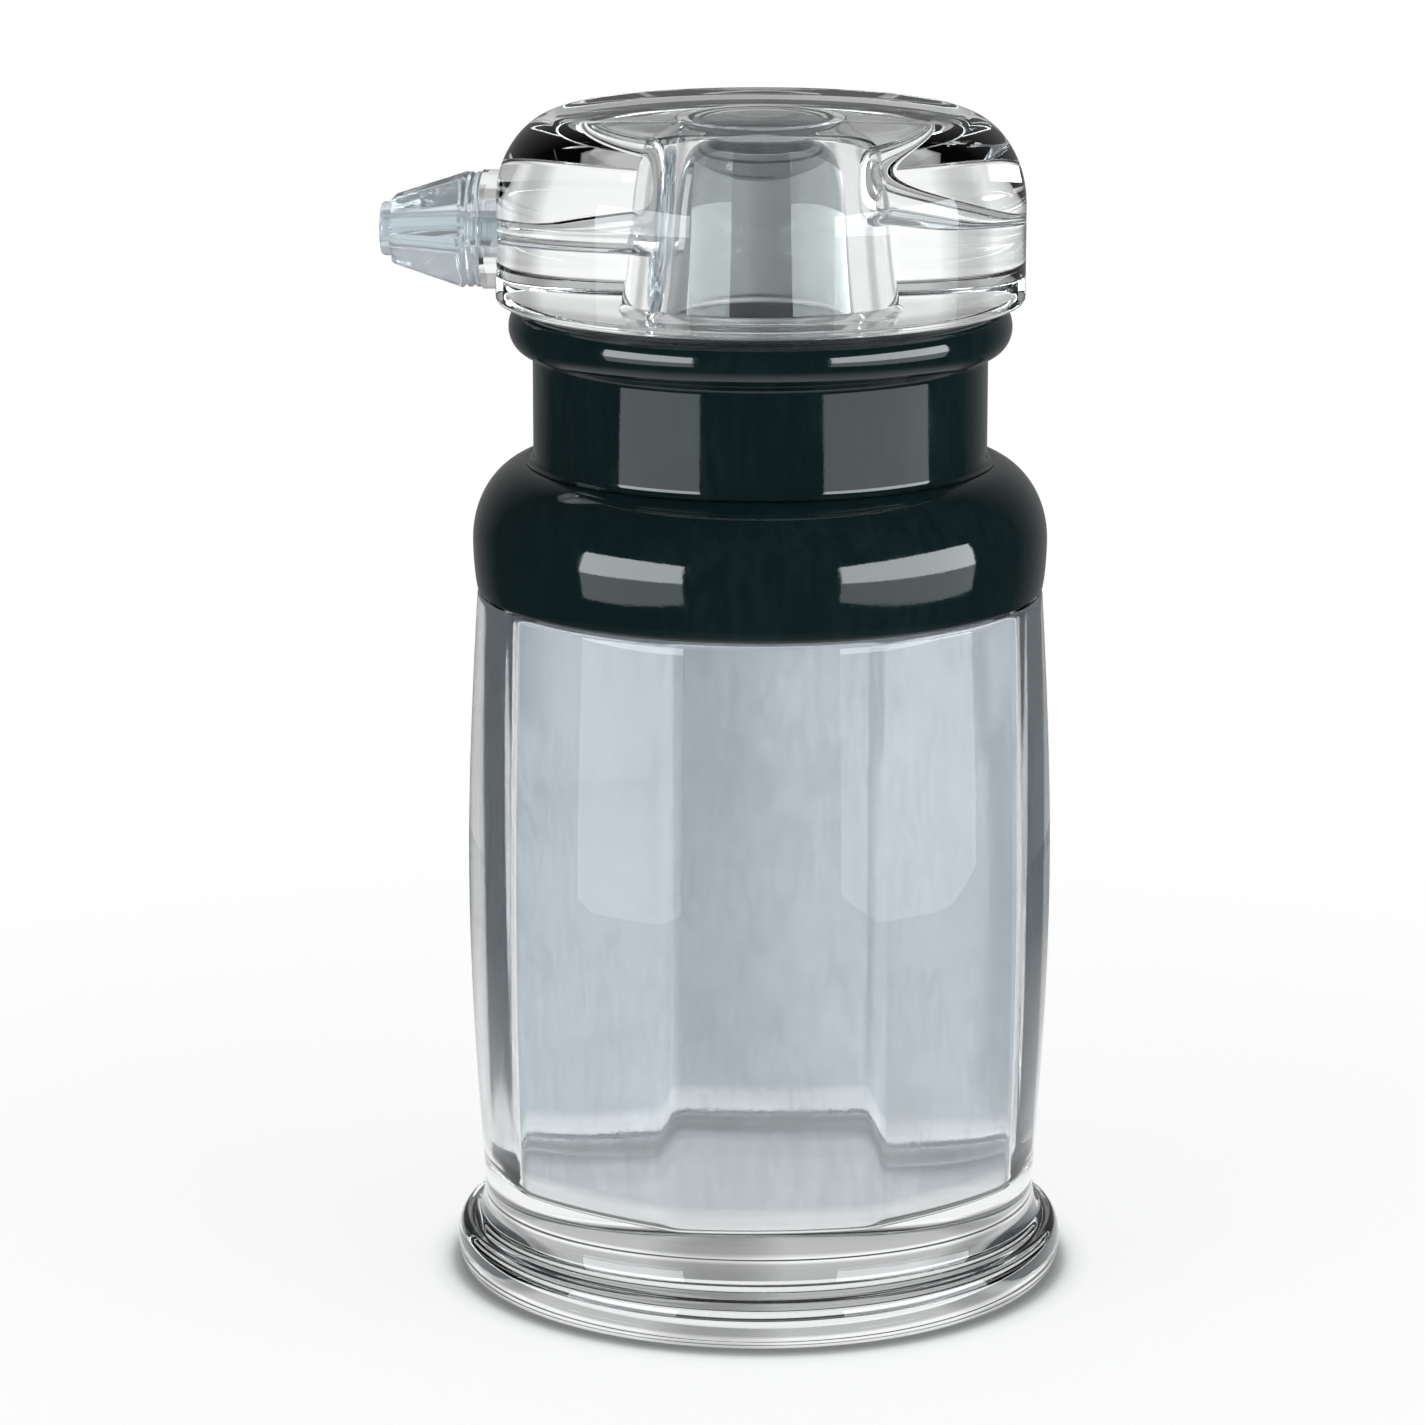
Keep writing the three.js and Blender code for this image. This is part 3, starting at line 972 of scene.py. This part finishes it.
def makeTableFinish(setup):
    material = bpy.data.materials.new("tableWhite")
    material.use_nodes = True
    nodes, links = material.node_tree.nodes, material.node_tree.links
    nodes.clear()
    out = nodes.new("ShaderNodeOutputMaterial")
    diffuseWithFootShade = nodes.new("ShaderNodeBsdfDiffuse")
    glow = nodes.new("ShaderNodeEmission")
    mix = nodes.new("ShaderNodeMixShader")
    rays = nodes.new("ShaderNodeLightPath").outputs
    coords = nodes.new("ShaderNodeTexCoord")
    length = nodes.new("ShaderNodeVectorMath")
    length.operation = "LENGTH"
    links.new(coords.outputs["Object"], length.inputs[0])
    reach = placeMath(nodes, links, "DIVIDE", length.outputs["Value"], setup["tableRadius"])

    def byRadius(stops):
        return placeRamp(nodes, links, reach, [(r / setup["tableRadius"], tone) for r, tone in stops])

    # how white it is to the eye, through a clear piece and in a reflection
    bands = placeBands(nodes, links, coords.outputs["Object"], setup)
    through = placeMath(nodes, links, "MULTIPLY", rays["Is Transmission Ray"], bands)
    mirrored = placeMath(nodes, links, "MULTIPLY", rays["Is Glossy Ray"], byRadius(setup["tableMirrored"]))
    plain = placeMath(nodes, links, "MAXIMUM", rays["Is Camera Ray"], through)
    links.new(placeMath(nodes, links, "MAXIMUM", plain, mirrored), glow.inputs["Strength"])
    seen = placeMath(nodes, links, "MAXIMUM", rays["Is Camera Ray"], rays["Is Glossy Ray"])
    seenAll = placeMath(nodes, links, "MAXIMUM", seen, rays["Is Transmission Ray"])
    # the glow share drops in a ring under the foot: painted shade, seen through the foot
    links.new(placeMath(nodes, links, "MULTIPLY", seenAll, byRadius(setup["tableGlowWithFootShade"])), mix.inputs["Fac"])
    # the diffuse colour's dark ring under the foot is painted shade, seen through the foot
    links.new(byRadius(setup["tablePaintWithFootShade"]), diffuseWithFootShade.inputs["Color"])
    links.new(diffuseWithFootShade.outputs[0], mix.inputs[1])
    links.new(glow.outputs[0], mix.inputs[2])
    links.new(mix.outputs[0], out.inputs["Surface"])
    return material


def makeWorld(setup):
    world = bpy.data.worlds.new("studioWorld")
    scene.world = world
    world.use_nodes = True
    nodes, links = world.node_tree.nodes, world.node_tree.links
    back = nodes["Background"]
    back.inputs["Color"].default_value = (1, 1, 1, 1)
    rays = nodes.new("ShaderNodeLightPath").outputs
    coords = nodes.new("ShaderNodeTexCoord")
    split = nodes.new("ShaderNodeSeparateXYZ")
    links.new(coords.outputs["Generated"], split.inputs[0])

    # how white it is in a reflection, through a clear piece, to the eye and as a light
    front, rear = setup["roomFront"], setup["roomRear"]
    room = placeRange(nodes, links, split.outputs["Y"], *setup["roomTurns"], front, rear)
    mirrored = placeMath(nodes, links, "MULTIPLY", room, rays["Is Glossy Ray"])
    heights = placeRamp(nodes, links, split.outputs["Z"], setup["roomHeights"])
    bands = placeBands(nodes, links, coords.outputs["Generated"], setup)
    banded = placeMath(nodes, links, "MULTIPLY", heights, bands)
    through = placeMath(nodes, links, "MULTIPLY", banded, rays["Is Transmission Ray"])
    plain = placeMath(nodes, links, "MAXIMUM", rays["Is Camera Ray"], through)
    seen = placeMath(nodes, links, "MAXIMUM", plain, mirrored)
    ambient = placeMath(nodes, links, "MULTIPLY", rays["Is Diffuse Ray"], setup["ambient"])
    links.new(placeMath(nodes, links, "MAXIMUM", seen, ambient), back.inputs["Strength"])


def makeSoftbox(name, setup, side, width, height, middle, radiance):
    data = bpy.data.lights.new(name, "AREA")
    data.shape = "RECTANGLE"
    data.size = width
    data.size_y = height
    data.energy = radiance * math.pi * width * height
    data.color = setup["boxColour"]
    obj = bpy.data.objects.new(name, data)
    angle = math.radians(camera["turn"] - 90 - side)
    centre = Vector((0, 0, middle))
    obj.location = centre + Vector((math.cos(angle), math.sin(angle), 0)) * setup["boxDistance"]
    obj.rotation_euler = (centre - obj.location).to_track_quat("-Z", "Y").to_euler()
    obj.visible_camera = False
    scene.collection.objects.link(obj)


makeTable(studio)
makeWorld(studio)
for boxName, place in (("Left", studio["boxLeft"]), ("Right", studio["boxRight"])):
    makeSoftbox("softboxUpper" + boxName, studio, *place, *studio["boxUpper"])
    makeSoftbox("softboxLower" + boxName, studio, *place, *studio["boxLower"])
scene.view_settings.view_transform = "Standard"
scene.cycles.max_bounces = 24
scene.cycles.transmission_bounces = 24
print("studio made")
